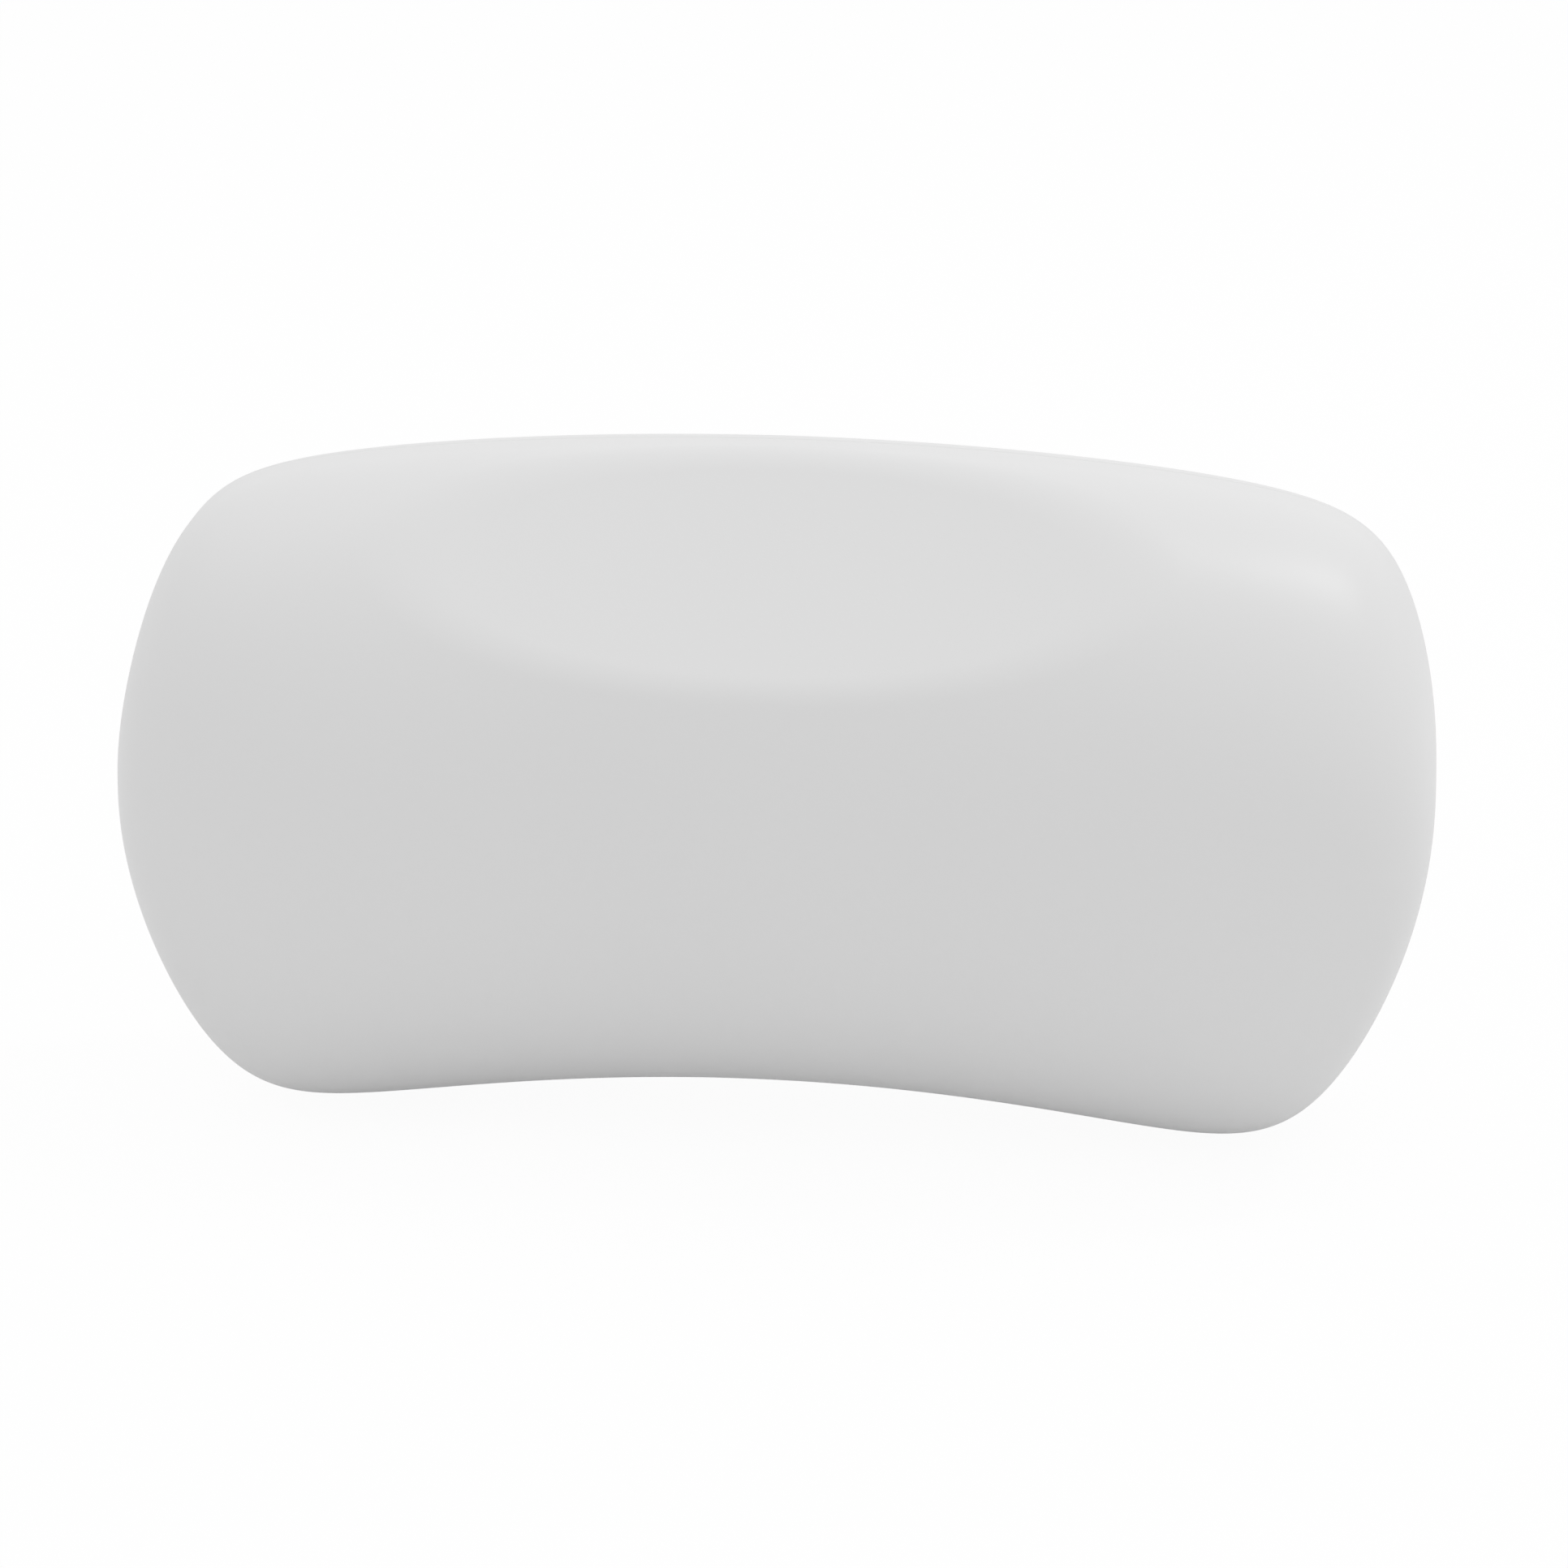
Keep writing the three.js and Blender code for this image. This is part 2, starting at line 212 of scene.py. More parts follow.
def put(tree, kind, **inputs):
    """A node with its inputs linked or set; an underscore stands for a space in their names."""
    node = tree.nodes.new(kind)
    for label, value in inputs.items():
        slot = node.inputs[label.replace("_", " ")]
        if isinstance(value, Field):
            tree.links.new(value.socket, slot)
        elif isinstance(value, bpy.types.NodeSocket):
            tree.links.new(value, slot)
        else:
            slot.default_value = value
    return node


def turned(tree, profile, sides):
    """A profile of points, each a radius and a Y, taken once round the Y axis and closed."""
    rows = put(tree, "GeometryNodeAttributeDomainSize", Geometry=profile).outputs["Point Count"]
    columns = Field(tree, sides) + 1
    sheet = put(
        tree,
        "GeometryNodeMeshGrid",
        Size_X=1,
        Size_Y=1,
        Vertices_X=columns,
        Vertices_Y=rows,
    )
    place = put(tree, "GeometryNodeInputPosition").outputs["Position"]
    index = Field(tree, put(tree, "GeometryNodeInputIndex").outputs["Index"])
    on_profile = tree.nodes.new("GeometryNodeSampleIndex")
    on_profile.data_type = "FLOAT_VECTOR"
    tree.links.new(profile, on_profile.inputs["Geometry"])
    tree.links.new(place, on_profile.inputs["Value"])
    tree.links.new((index % Field(tree, rows)).socket, on_profile.inputs["Index"])
    corner = put(tree, "ShaderNodeSeparateXYZ", Vector=on_profile.outputs["Value"]).outputs
    across = put(tree, "ShaderNodeSeparateXYZ", Vector=place).outputs
    radius = Field(tree, corner["X"])
    angle = Field(tree, across["X"]) * math.tau
    turned_place = put(
        tree,
        "ShaderNodeCombineXYZ",
        X=radius * angle.cosine(),
        Y=corner["Y"],
        Z=radius * angle.sine(),
    )
    swept = put(
        tree,
        "GeometryNodeSetPosition",
        Geometry=sheet.outputs["Mesh"],
        Position=turned_place.outputs["Vector"],
    )
    welded = put(
        tree,
        "GeometryNodeMergeByDistance",
        Geometry=swept.outputs["Geometry"],
        Distance=weld,
    )
    return put(tree, "GeometryNodeFlipFaces", Mesh=welded.outputs["Geometry"]).outputs["Mesh"]


def at_stations(tree, copied, spacing_x, spacing_z):
    """Four copies, one at each station of a suction cup, made real."""
    corners = put(
        tree,
        "GeometryNodeMeshGrid",
        Size_X=spacing_x,
        Size_Y=spacing_z,
        Vertices_X=2,
        Vertices_Y=2,
    )
    upright = put(
        tree,
        "GeometryNodeTransform",
        Geometry=corners.outputs["Mesh"],
        Rotation=(math.pi / 2, 0, 0),
    )
    copies = put(
        tree,
        "GeometryNodeInstanceOnPoints",
        Points=upright.outputs["Geometry"],
        Instance=copied,
    )
    real = put(tree, "GeometryNodeRealizeInstances", Geometry=copies.outputs["Instances"])
    return real.outputs["Geometry"]


def finish_tree(tree, shape, finish, crease, result):
    """Smooth shading except at creases, then real geometry in its finish."""
    angle = Field(tree, put(tree, "GeometryNodeInputMeshEdgeAngle").outputs["Unsigned Angle"])
    smooth = put(tree, "GeometryNodeSetShadeSmooth", Geometry=shape, Shade_Smooth=True)
    creased = put(
        tree,
        "GeometryNodeSetShadeSmooth",
        Geometry=smooth.outputs["Geometry"],
        Selection=angle.above(crease),
        Shade_Smooth=False,
    )
    creased.domain = "EDGE"
    real = put(tree, "GeometryNodeRealizeInstances", Geometry=creased.outputs["Geometry"])
    dressed = put(
        tree,
        "GeometryNodeSetMaterial",
        Geometry=real.outputs["Geometry"],
        Material=finish,
    )
    tree.links.new(dressed.outputs["Geometry"], result)


def piece_from(tree, name, base, choices):
    """Runs a tree on a base mesh with the named inputs, and keeps the result as a plain mesh."""
    piece = bpy.data.objects.new(name, base)
    bpy.context.scene.collection.objects.link(piece)
    steps = piece.modifiers.new(name, "NODES")
    steps.node_group = tree
    for item in tree.interface.items_tree:
        if item.in_out == "INPUT" and item.name in choices:
            steps[item.identifier] = choices[item.name]
    depsgraph = bpy.context.evaluated_depsgraph_get()
    made = bpy.data.meshes.new_from_object(piece.evaluated_get(depsgraph), depsgraph=depsgraph)
    finish = made.materials[made.polygons[0].material_index]
    made.materials.clear()
    made.materials.append(finish)
    piece.modifiers.clear()
    piece.data = made
    return piece


def bent(start, corner, finish, steps):
    """Points of a curve from start to finish that is pulled towards a corner."""
    points = []
    for step in range(steps + 1):
        share = step / steps
        points.append(start.lerp(corner, share).lerp(corner.lerp(finish, share), share))
    return points


def eased(corners, steps):
    """Points of an outline whose corners, each a radius, a Y and an ease, are rounded by it."""
    points = []
    for number, (radius, y, ease) in enumerate(corners):
        corner = Vector((radius, y, 0))
        before = Vector((*corners[number - 1][:2], 0))
        after = Vector((*corners[(number + 1) % len(corners)][:2], 0))
        if ease > 0:
            start = corner + (before - corner).normalized() * ease
            finish = corner + (after - corner).normalized() * ease
            points.extend(bent(start, corner, finish, steps))
        else:
            points.append(corner)
    return points


def profile_mesh(name, points):
    """A chain of points that a tree reads as a profile."""
    chain = bpy.data.meshes.new(name)
    edges = [(number, number + 1) for number in range(len(points) - 1)]
    chain.from_pydata(points, edges, [])
    return chain


weld = 0.00001
crease_angle = math.radians(35)
curve_steps = 6

stand_off = 0.014
skin_wall = 0.0025
seat_gap = 0.0003
cup_spacing_x = 0.18
cup_spacing_z = 0.072
neck_radius = 0.0042
head_radius = 0.0064
head_height = 0.0046
swivel_clearance = 0.0004
flange_thickness = 0.0016
flange_overhang = 0.003
flange_ease = 0.0007
throat_length = 0.005
throat_lead_in = 0.0008
socket_wall = 0.0016
socket_ease = 0.0003
tip_clearance = 0.0008
socket_sides = 96

flange_back = stand_off - seat_gap
flange_face = flange_back - flange_thickness
throat_end = flange_face + throat_length
head_seat = throat_end + swivel_clearance
head_tip = head_seat + head_height
barrel_end = head_tip + tip_clearance
throat_radius = neck_radius + swivel_clearance
cavity_radius = head_radius + swivel_clearance
barrel_radius = cavity_radius + socket_wall
barrel_hole_radius = barrel_radius + seat_gap
flange_radius = barrel_hole_radius + flange_overhang

socket_outline = eased(
    [
        (cavity_radius, -barrel_end, 0),
        (barrel_radius, -barrel_end, socket_ease),
        (barrel_radius, -flange_back, 0),
        (flange_radius, -flange_back, socket_ease),
        (flange_radius, -flange_face, flange_ease),
        (throat_radius, -flange_face, throat_lead_in),
        (throat_radius, -throat_end, socket_ease),
        (cavity_radius, -throat_end, 0),
        (cavity_radius, -barrel_end, 0),
    ],
    curve_steps,
)

socket_finish = moulded_finish(
    "white_nylon",
    dark=(0.74, 0.74, 0.73, 1),
    light=(0.80, 0.80, 0.79, 1),
    tints_per_metre=120,
    smoothest=0.28,
    roughest=0.42,
    glosses_per_metre=500,
    grains_per_metre=2500,
    grain_depth=0.00002,
)[0]

socket_tree, given, result = new_tree(
    "Cup sockets",
    {
        "Finish": socket_finish,
        "Spacing along": cup_spacing_x,
        "Spacing up": cup_spacing_z,
        "Sides": socket_sides,
        "Crease": crease_angle,
    },
)
bush = turned(socket_tree, given["Mesh"], given["Sides"])
bushes = at_stations(socket_tree, bush, given["Spacing along"], given["Spacing up"])
finish_tree(socket_tree, bushes, given["Finish"], Field(socket_tree, given["Crease"]), result)

socket_base = profile_mesh("socket_profile", socket_outline)
sockets = piece_from(socket_tree, "cup_sockets", socket_base, {})
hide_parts(*["cup_socket_" + station for station in station_names])
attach(sockets, "pillow")


# The foam core is cream polyurethane foam, poured round the plate and the caps so that it locks on
# them. It fills the skin, and its outer form is the cushion's form less the wall. The pocket that
# it keeps for the plate is cut with what the solid foam leaves free in a block behind it.
def smooth_ramp(value, blend):
    """Nothing well below zero, the value well above it, and a smooth turn between them."""
    near = (blend - abs(value)).at_least(0) / blend
    return value.at_least(0) + near * near * blend / 4


def run_into_end(level, end_radius, to_end, corner_power):
    """Height of an outline near an end: a level run that turns down into a round end."""
    climb = (end_radius * to_end * 2).root() / level
    return level * climb / (climb ** corner_power + 1) ** (1 / corner_power)


def pick(choice, chosen, other):
    """The first value where the choice is one, and the second where it is zero."""
    return other + (chosen - other) * choice


def eased_ends(share):
    """A share from nothing to one that starts and stops gently."""
    return share * share * (3 - share * 2)


cushion_sizes = {
    "Half width": 0.16,
    "Crown height": 0.0777,
    "Crown drop": 0.0127,
    "Chin height": 0.0744,
    "Lobe drop": 0.0247,
    "Crown end radius": 0.133,
    "Chin end radius": 0.115,
    "Front depth": 0.0563,
    "Lobe reach": 0.0097,
    "Back swell": 0.044,
    "Back face depth": 0.024,
    "Back edge blend": 0.011,
    "Section lean share": 0.106,
    "Crown corner power": 4.7,
    "Chin corner power": 6.3,
    "End power": 4.3,
    "End root": 4.0,
    "Upper front power": 2.2,
    "Lower front power": 2.6,
    "Back power": 3.5,
    "Dish forward": 0.0235,
    "Dish lift": 0.0542,
    "Dish tilt": math.radians(50.7),
    "Dish width radius": 0.47,
    "Dish length radius": 2.5,
    "Dish length": 0.066,
    "Dish lower blend": 0.002,
    "Dish upper blend": 0.0035,
    "Stand off": stand_off,
    "Inset": 0.0,
    "Steps along": 280,
    "Steps around": 280,
    "Crowding share": 0.45,
    "Crowding angle": math.radians(50),
}
form_tree, given, result = new_tree("Cushion form", cushion_sizes)
size = {label: Field(form_tree, given[label]) for label in cushion_sizes}

# A sheet is taken from end to end and once round, with its rows crowded where the dish is
form_sheet = put(
    form_tree,
    "GeometryNodeMeshGrid",
    Size_X=1,
    Size_Y=1,
    Vertices_X=size["Steps along"] + 1,
    Vertices_Y=size["Steps around"] + 1,
)
sheet_place = put(form_tree, "GeometryNodeInputPosition").outputs["Position"]
on_sheet = put(form_tree, "ShaderNodeSeparateXYZ", Vector=sheet_place).outputs
along_angle = Field(form_tree, on_sheet["X"]) * math.pi
turn = Field(form_tree, on_sheet["Y"]) * math.tau
around_angle = turn - (turn - size["Crowding angle"]).sine() * size["Crowding share"]

along_share = along_angle.sine()
square = along_share * along_share
reach = size["Half width"] - size["Inset"]
to_end = (reach * (1 - abs(along_share))).at_least(0)
forward = around_angle.cosine()
upward = around_angle.sine()
in_front = forward.above(0)
on_top = upward.above(0)
front_power = pick(on_top, size["Upper front power"], size["Lower front power"])
power = pick(in_front, front_power, size["Back power"])
spread = (abs(forward) ** power + abs(upward) ** power) ** (-1 / power)

crown_level = size["Crown height"] - size["Crown drop"] * square - size["Inset"]
chin_level = size["Chin height"] + size["Lobe drop"] * square - size["Inset"]
crown = run_into_end(crown_level, size["Crown end radius"], to_end, size["Crown corner power"])
chin = run_into_end(chin_level, size["Chin end radius"], to_end, size["Chin corner power"])
rise = pick(on_top, crown, chin) * spread * upward

end_share = (1 - abs(along_share) ** size["End power"]).at_least(0) ** (1 / size["End root"])
front = size["Front depth"] + size["Lobe reach"] * square - size["Inset"]
back = size["Back swell"] - size["Inset"]
run = pick(in_front, front, back) * end_share * spread * forward
form_x = reach * along_share
form_y = size["Section lean share"] * rise - run

# What stands above the shallow bowl of the head dish is pushed back along the bowl's own direction
tilt_sine = size["Dish tilt"].sine()
tilt_cosine = size["Dish tilt"].cosine()
from_dish_y = form_y + size["Dish forward"]
from_dish_z = rise - size["Dish lift"]
dish_climb = from_dish_y * tilt_sine + from_dish_z * tilt_cosine
dish_height = from_dish_z * tilt_sine - from_dish_y * tilt_cosine
bowl_across = form_x * form_x / (size["Dish width radius"] * 2)
bowl_along = dish_climb * dish_climb / (size["Dish length radius"] * 2)
over_bowl = dish_height + size["Inset"] - bowl_across - bowl_along
climb_share = (dish_climb / size["Dish length"] + 0.5).at_least(0).at_most(1)
dish_blend = pick(eased_ends(climb_share), size["Dish upper blend"], size["Dish lower blend"])
pressed = smooth_ramp(over_bowl, dish_blend)
pressed_y = form_y + pressed * tilt_cosine
pressed_z = rise - pressed * tilt_sine

# The back is flat, and the form stands in front of it
past_back = pressed_y - (size["Back face depth"] - size["Inset"])
flat_y = pressed_y - smooth_ramp(past_back, size["Back edge blend"])
seated_y = flat_y - size["Stand off"] - size["Back face depth"]
form_place = put(form_tree, "ShaderNodeCombineXYZ", X=form_x, Y=seated_y, Z=pressed_z)
shaped = put(
    form_tree,
    "GeometryNodeSetPosition",
    Geometry=form_sheet.outputs["Mesh"],
    Position=form_place.outputs["Vector"],
)
closed = put(
    form_tree,
    "GeometryNodeMergeByDistance",
    Geometry=shaped.outputs["Geometry"],
    Distance=weld,
)
form_tree.links.new(closed.outputs["Geometry"], result)


def cushion_form(tree, inset, steps_along, steps_around):
    """The closed form of the cushion, an inset below its outer face."""
    form = tree.nodes.new("GeometryNodeGroup")
    form.node_tree = form_tree
    tree.links.new(inset, form.inputs["Inset"])
    tree.links.new(steps_along, form.inputs["Steps along"])
    tree.links.new(steps_around, form.inputs["Steps around"])
    return form.outputs["Mesh"]


def cut_away(tree, body, cutter):
    """The body less the cutter."""
    cut = tree.nodes.new("GeometryNodeMeshBoolean")
    cut.operation = "DIFFERENCE"
    cut.solver = "MANIFOLD"
    tree.links.new(body, cut.inputs["Mesh 1"])
    tree.links.new(cutter, cut.inputs["Mesh 2"])
    return cut.outputs["Mesh"]


foam_inset = skin_wall + seat_gap
pocket_width = 0.232
pocket_height = 0.112
pocket_depth = 0.024
pocket_overrun = 0.004
pocket_middle = stand_off + foam_inset + pocket_depth / 2 - pocket_overrun

foam_finish, foam_nodes, foam_shader, foam_relief = moulded_finish(
    "cream_foam",
    dark=(0.78, 0.71, 0.53, 1),
    light=(0.86, 0.80, 0.63, 1),
    tints_per_metre=60,
    smoothest=0.88,
    roughest=1.0,
    glosses_per_metre=200,
    grains_per_metre=900,
    grain_depth=0.0002,
)
cells_per_metre = 1600
cell_depth = 0.0004
cells = foam_nodes.nodes.new("ShaderNodeTexVoronoi")
cells.inputs["Scale"].default_value = cells_per_metre
cell_place = foam_nodes.nodes.new("ShaderNodeTexCoord")
foam_nodes.links.new(cell_place.outputs["Object"], cells.inputs["Vector"])
raise_grain(foam_nodes, foam_shader, cells.outputs["Distance"], cell_depth, foam_relief)

foam_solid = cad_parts["foam_core"]
foam_tree, given, result = new_tree(
    "Foam core",
    {
        "Finish": foam_finish,
        "Solid foam": foam_solid,
        "Inset": foam_inset,
        "Steps along": 150,
        "Steps around": 150,
        "Pocket width": pocket_width,
        "Pocket depth": pocket_depth,
        "Pocket height": pocket_height,
        "Pocket middle": pocket_middle,
        "Crease": crease_angle,
    },
)
foam_form = cushion_form(foam_tree, given["Inset"], given["Steps along"], given["Steps around"])
block_size = put(
    foam_tree,
    "ShaderNodeCombineXYZ",
    X=given["Pocket width"],
    Y=given["Pocket depth"],
    Z=given["Pocket height"],
)
block_place = put(foam_tree, "ShaderNodeCombineXYZ", Y=0 - Field(foam_tree, given["Pocket middle"]))
block = put(foam_tree, "GeometryNodeMeshCube", Size=block_size.outputs["Vector"])
placed_block = put(
    foam_tree,
    "GeometryNodeTransform",
    Geometry=block.outputs["Mesh"],
    Translation=block_place.outputs["Vector"],
)
solid_foam = put(foam_tree, "GeometryNodeObjectInfo", Object=given["Solid foam"])
welded_foam = put(
    foam_tree,
    "GeometryNodeMergeByDistance",
    Geometry=solid_foam.outputs["Geometry"],
    Distance=weld,
)
pocket = cut_away(foam_tree, placed_block.outputs["Geometry"], welded_foam.outputs["Geometry"])
hollowed_foam = cut_away(foam_tree, foam_form, pocket)
finish_tree(foam_tree, hollowed_foam, given["Finish"], Field(foam_tree, given["Crease"]), result)

foam = piece_from(foam_tree, "foam_filling", bpy.data.meshes.new("foam_base"), {})
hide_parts("foam_core")
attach(foam, "pillow")


# The skin is one satin shell of dense white polyurethane, 2.5 mm thick, sprayed into the mould
# before the foam is poured, with the head dish, the two lobes and the arched lower edge in it. Its
# back is flat, with a fine grain and four socket holes, and a parting line runs round its edge.
hole_sides = 96
hole_overrun = 0.002

skin_finish, skin_nodes, skin_shader, skin_relief = moulded_finish(
    "satin_polyurethane",
    dark=(0.706, 0.706, 0.708, 1),
    light=(0.721, 0.721, 0.721, 1),
    tints_per_metre=9,
    smoothest=0.36,
    roughest=0.42,
    glosses_per_metre=60,
    grains_per_metre=2200,
    grain_depth=0.00001,
)
skin_gloss_share = 0.35
skin_shader.inputs["Specular IOR Level"].default_value = skin_gloss_share
parting_depth = 0.0215
parting_width = 0.0005
parting_height = 0.00012
skin_place = skin_nodes.nodes.new("ShaderNodeTexCoord")
skin_axes = put(skin_nodes, "ShaderNodeSeparateXYZ", Vector=skin_place.outputs["Object"])
from_parting = abs(Field(skin_nodes, skin_axes.outputs["Y"]) + parting_depth)
parting_rise = (1 - from_parting / parting_width).at_least(0)
parted_relief = raise_grain(
    skin_nodes, skin_shader, parting_rise.socket, parting_height, skin_relief
)
back_grain_start = 0.0165
back_grain_fade = 0.002
back_grains_per_metre = 900
back_grain_depth = 0.0001
past_start = Field(skin_nodes, skin_axes.outputs["Y"]) + back_grain_start
on_back = (past_start / back_grain_fade).at_least(0).at_most(1)
back_grain = on_back * Field(skin_nodes, clouds(skin_nodes, back_grains_per_metre))
raise_grain(skin_nodes, skin_shader, back_grain.socket, back_grain_depth, parted_relief)

skin_tree, given, result = new_tree(
    "Cushion skin",
    {
        "Finish": skin_finish,
        "No inset": 0.0,
        "Wall": skin_wall,
        "Steps along": 280,
        "Steps around": 300,
        "Inner steps along": 80,
        "Inner steps around": 80,
        "Hole radius": barrel_hole_radius,
        "Hole depth": skin_wall + 2 * hole_overrun,
        "Hole sides": hole_sides,
        "Spacing along": cup_spacing_x,
        "Spacing up": cup_spacing_z,
        "Crease": crease_angle,
    },
)
outer_form = cushion_form(skin_tree, given["No inset"], given["Steps along"], given["Steps around"])
inner_form = cushion_form(
    skin_tree,
    given["Wall"],
    given["Inner steps along"],
    given["Inner steps around"],
)
shell = cut_away(skin_tree, outer_form, inner_form)
hole = put(
    skin_tree,
    "GeometryNodeMeshCylinder",
    Vertices=given["Hole sides"],
    Radius=given["Hole radius"],
    Depth=given["Hole depth"],
)
hole_place = (0, -stand_off - skin_wall / 2, 0)
laid_hole = put(
    skin_tree,
    "GeometryNodeTransform",
    Geometry=hole.outputs["Mesh"],
    Translation=hole_place,
    Rotation=(math.pi / 2, 0, 0),
)
holes = at_stations(
    skin_tree,
    laid_hole.outputs["Geometry"],
    given["Spacing along"],
    given["Spacing up"],
)
pierced = cut_away(skin_tree, shell, holes)
finish_tree(skin_tree, pierced, given["Finish"], Field(skin_tree, given["Crease"]), result)

skin = piece_from(skin_tree, "moulded_skin", bpy.data.meshes.new("skin_base"), {})
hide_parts("cushion_skin")
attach(skin, "pillow")


# Each suction cup is one soft, milky vinyl moulding. Its mushroom head and neck snap into a socket
# and swivel there. Its thin bell has two ribs, a flat lip and a gate mark in the hollow, and its
# pull tab has three ridges for a finger nail, which lifts the lip off the tub.
def ribbed(points, rib_radii, rib_width, rib_height):
    """Points of an outline with a round rib on it at each of the radii."""
    raised = []
    for point in points:
        off_rib = min(abs(point.x - rib_radius) for rib_radius in rib_radii)
        share = max(0, 1 - 2 * off_rib / rib_width)
        lift = rib_height * eased_ends(share)
        raised.append(point - Vector((0, lift, 0)))
    return raised


cup_radius = 0.0225
lip_width = 0.0018
lip_thickness = 0.0009
lip_ease = 0.0003
hollow_depth = 0.0056
shoulder_radius = 0.0075
shoulder_height = 0.0096
shoulder_fillet = 0.0014
head_edge = 0.0012
head_ease = 0.0003
bell_rib_radii = (0.0125, 0.0175)
bell_rib_width = 0.0016
bell_rib_height = 0.0004
gate_radius = 0.0013
gate_height = 0.0003
gate_ease = 0.00015
bell_steps = 16
ribbed_bell_steps = 64
cup_sides = 128
tab_reach = 0.009
tab_width = 0.011
tab_thickness = 0.0012
tab_lift = 0.0006
tab_root = 0.003
tab_ease = 0.0003
tab_ease_steps = 3
tab_ease_bulge_share = 0.5
tab_end_steps = 24
ridge_width = 0.0012
ridge_pitch = 0.0026
ridge_count = 3
ridge_sides = 24

hollow_radius = cup_radius - lip_width
bell_corner = Vector(((shoulder_radius + cup_radius) / 2, -shoulder_height, 0))
cup_outline = bent(
    Vector((0, -head_tip, 0)),
    Vector((head_radius, -head_tip, 0)),
    Vector((head_radius, -head_seat - head_edge, 0)),
    bell_steps,
)
cup_outline += eased(
    [
        (head_radius, -head_seat - head_edge, 0),
        (head_radius, -head_seat, head_ease),
        (neck_radius, -head_seat, head_ease),
        (neck_radius, -shoulder_height, shoulder_fillet),
        (shoulder_radius, -shoulder_height, 0),
    ],
    curve_steps,
)[1:-1]
bell_outline = bent(
    Vector((shoulder_radius, -shoulder_height, 0)),
    bell_corner,
    Vector((cup_radius, -lip_thickness, 0)),
    ribbed_bell_steps,
)
cup_outline += ribbed(bell_outline, bell_rib_radii, bell_rib_width, bell_rib_height)
cup_outline += eased(
    [
        (cup_radius, -lip_thickness, 0),
        (cup_radius, 0, lip_ease),
        (hollow_radius, 0, 0),
    ],
    curve_steps,
)[1:-1]
cup_outline += bent(
    Vector((hollow_radius, 0, 0)),
    Vector((hollow_radius / 2, -hollow_depth, 0)),
    Vector((gate_radius, -hollow_depth, 0)),
    bell_steps,
)
gate_face = gate_height - hollow_depth
cup_outline += eased(
    [
        (gate_radius, -hollow_depth, 0),
        (gate_radius, gate_face, gate_ease),
        (0, gate_face, 0),
    ],
    curve_steps,
)[1:]

tab_tip = cup_radius + tab_reach
tab_round = tab_width / 2
tab_outline = [(-tab_round, tab_root - cup_radius)]
for step in range(tab_end_steps + 1):
    end_angle = math.pi * (1 + step / tab_end_steps)
    end_x = tab_round * math.cos(end_angle)
    tab_outline.append((end_x, tab_round - tab_tip + tab_round * math.sin(end_angle)))
tab_outline.append((tab_round, tab_root - cup_radius))
tab_form = bmesh.new()
tab_near = [tab_form.verts.new((x, -tab_lift, z)) for x, z in tab_outline]
tab_face = tab_form.faces.new(tab_near)
tab_grown = bmesh.ops.extrude_face_region(tab_form, geom=[tab_face])
tab_far = [part for part in tab_grown["geom"] if isinstance(part, bmesh.types.BMVert)]
bmesh.ops.translate(tab_form, verts=tab_far, vec=(0, -tab_thickness, 0))
tab_form.faces.ensure_lookup_table()
bmesh.ops.recalc_face_normals(tab_form, faces=tab_form.faces[:])
tab_rims = [edge for edge in tab_form.edges if edge.calc_face_angle(0) > crease_angle]
bmesh.ops.bevel(
    tab_form,
    geom=tab_rims,
    offset=tab_ease,
    segments=tab_ease_steps,
    profile=tab_ease_bulge_share,
    affect="EDGES",
)
tab_mesh = bpy.data.meshes.new("tab_blank")
tab_form.to_mesh(tab_mesh)
tab_form.free()
tab_blank = bpy.data.objects.new("tab_blank", tab_mesh)
bpy.context.scene.collection.objects.link(tab_blank)

cup_finish, _, cup_shader, _ = moulded_finish(
    "milky_vinyl",
    dark=(0.66, 0.72, 0.745, 1),
    light=(0.74, 0.79, 0.81, 1),
    tints_per_metre=90,
    smoothest=0.08,
    roughest=0.20,
    glosses_per_metre=260,
    grains_per_metre=700,
    grain_depth=0.00002,
)
clear_share = 0.35
milky_share = 0.4
milky_depth = 0.003
vinyl_bend = 1.53
cup_shader.inputs["Transmission Weight"].default_value = clear_share
cup_shader.inputs["Subsurface Weight"].default_value = milky_share
cup_shader.inputs["Subsurface Scale"].default_value = milky_depth
cup_shader.inputs["IOR"].default_value = vinyl_bend

cup_tree, given, result = new_tree(
    "Suction cup",
    {
        "Finish": cup_finish,
        "Tab blank": tab_blank,
        "Sides": cup_sides,
        "Ridges": ridge_count,
        "Ridge pitch": ridge_pitch,
        "Ridge width": ridge_width,
        "Ridge length": tab_round,
        "Ridge sides": ridge_sides,
        "First ridge": tab_round - tab_tip - ridge_pitch / 2,
        "Ridge depth": tab_lift + tab_thickness,
        "Station along": 0.0,
        "Station up": 0.0,
        "Crease": crease_angle,
    },
)
bell = turned(cup_tree, given["Mesh"], given["Sides"])
tab = put(cup_tree, "GeometryNodeObjectInfo", Object=given["Tab blank"])
ridge_start = put(
    cup_tree,
    "ShaderNodeCombineXYZ",
    Y=0 - Field(cup_tree, given["Ridge depth"]),
    Z=given["First ridge"],
)
ridge_step = put(cup_tree, "ShaderNodeCombineXYZ", Z=given["Ridge pitch"])
ridge_line = put(
    cup_tree,
    "GeometryNodeMeshLine",
    Count=given["Ridges"],
    Start_Location=ridge_start.outputs["Vector"],
    Offset=ridge_step.outputs["Vector"],
)
